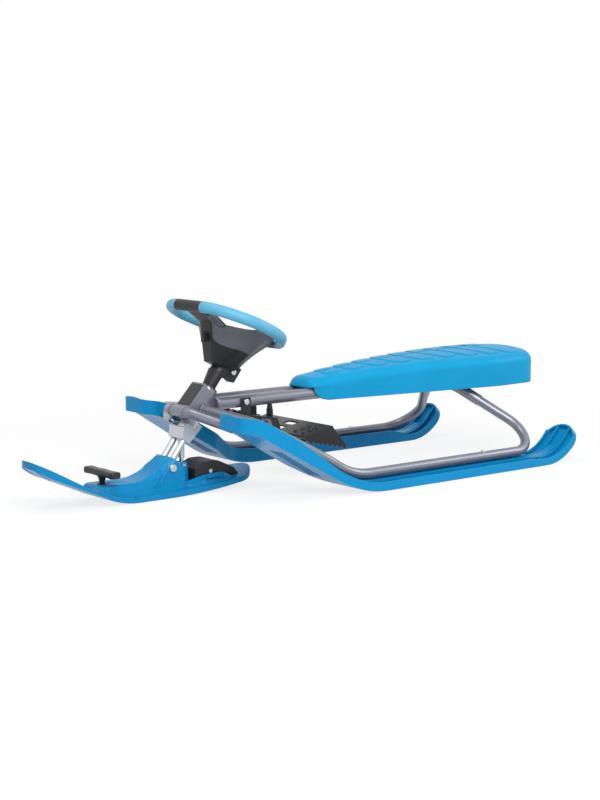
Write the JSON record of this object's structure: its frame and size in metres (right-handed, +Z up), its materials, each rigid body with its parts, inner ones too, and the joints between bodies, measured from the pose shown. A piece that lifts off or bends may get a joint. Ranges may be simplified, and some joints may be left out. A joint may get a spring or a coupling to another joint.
{
  "type": "steering sled",
  "caption": "Steering sled: two moulded runners under a bent tube frame with a long seat, a sprung front ski steered by a wheel, a foot brake and a tow handle.",
  "frame": {"origin": "on the ground under the middle of the sled's overall length and width", "axes": "+X forward along the sled, +Y to the rider's left, +Z up"},
  "size_m": [1.192, 0.49, 0.3596],
  "materials": {
    "runner_plastic": "glossy moulded blue",
    "seat_plastic": "satin moulded blue",
    "grip_skin": "matt soft light blue",
    "tube_paint": "gunmetal powder coat",
    "fork_metal": "bright silver paint",
    "black_plastic": "fine-grained black",
    "panel_plastic": "dark grey, grained",
    "black_steel": "black powder coat",
    "zinc_steel": "bright zinc",
    "nylon": "black nylon",
    "buffer_rubber": "black rubber"
  },
  "bodies": {
    "frame": {"spine_tube_left": "tube_paint", "spine_tube_right": "tube_paint", "rail_tube_left": "tube_paint", "rail_tube_right": "tube_paint", "front_arch": "tube_paint", "head_tube": "tube_paint", "head_bracket": "tube_paint", "head_front_plate": "black_plastic", "lower_bush": "nylon", "upper_bush": "nylon", "runner_left": "runner_plastic", "runner_right": "runner_plastic", "rail_rivets": "zinc_steel", "seat_shell": "seat_plastic", "seat_bridge_front": "black_steel", "seat_bridge_rear": "black_steel", "seat_screws": "zinc_steel", "brake_ear_left": "black_steel", "brake_ear_right": "black_steel", "brake_ear_bolts": "zinc_steel", "brake_hinge_pin": "zinc_steel", "brake_return_spring": "zinc_steel"},
    "steering": {"steering_column": "tube_paint", "fork_crown": "fork_metal", "fork_stay_left": "fork_metal", "fork_stay_right": "fork_metal", "steering_stop": "black_plastic", "strut_sleeve": "fork_metal", "wheel_body": "black_plastic", "wheel_panel_left": "panel_plastic", "wheel_panel_right": "panel_plastic", "grip_left": "grip_skin", "grip_right": "grip_skin", "wheel_clamp_bolt": "zinc_steel"},
    "strut": {"strut_rod": "fork_metal"},
    "ski": {"front_ski": "runner_plastic", "ski_pivot_bolt": "zinc_steel", "ski_pivot_nut": "zinc_steel", "ski_pivot_spacers": "zinc_steel", "strut_pin": "zinc_steel", "winder_cover": "black_plastic", "winder_axle": "zinc_steel", "winder_spring_drum": "nylon", "tow_collar": "black_plastic"},
    "spool": {"winder_spool": "nylon"},
    "handle": {"tow_handle": "black_plastic"},
    "brake": {"brake_plate": "black_steel", "brake_buffers": "buffer_rubber"}
  },
  "joints": [
    {"name": "steering", "type": "hinge", "parent": "frame", "child": "steering", "pos_m": [0.316, 0, 0.052], "axis": [-0.6101, 0, 0.7923], "range_deg": [-25, 25]},
    {"name": "ski_pitch", "type": "hinge", "parent": "steering", "child": "ski", "pos_m": [0.316, 0, 0.052], "axis": [0, 1, 0], "range_deg": [-6, 6], "stiffness_Nm_per_rad": 60},
    {"name": "strut_slide", "type": "slide", "parent": "steering", "child": "strut", "axis": [0, 0, 1], "range_m": [-0.005, 0.005]},
    {"name": "brake", "type": "hinge", "parent": "frame", "child": "brake", "pos_m": [0.152, 0, 0.138], "axis": [0, -1, 0], "range_deg": [0, 18], "stiffness_Nm_per_rad": 6, "springref_deg": -17.19},
    {"name": "tow_handle", "type": "slide", "parent": "ski", "child": "handle", "axis": [0, 0, 1], "range_m": [0, 0.12], "stiffness_N_per_m": 60, "springref_m": -0.08},
    {"name": "winder_spool", "type": "hinge", "parent": "ski", "child": "spool", "pos_m": [0.226, 0, 0.036], "axis": [0, 1, 0], "range_deg": [0, 720]}
  ],
  "couplings": [
    {"joint": "strut_slide", "follows": "ski_pitch", "m_per_rad": 0.041},
    {"joint": "winder_spool", "follows": "tow_handle", "rad_per_m": 98}
  ]
}
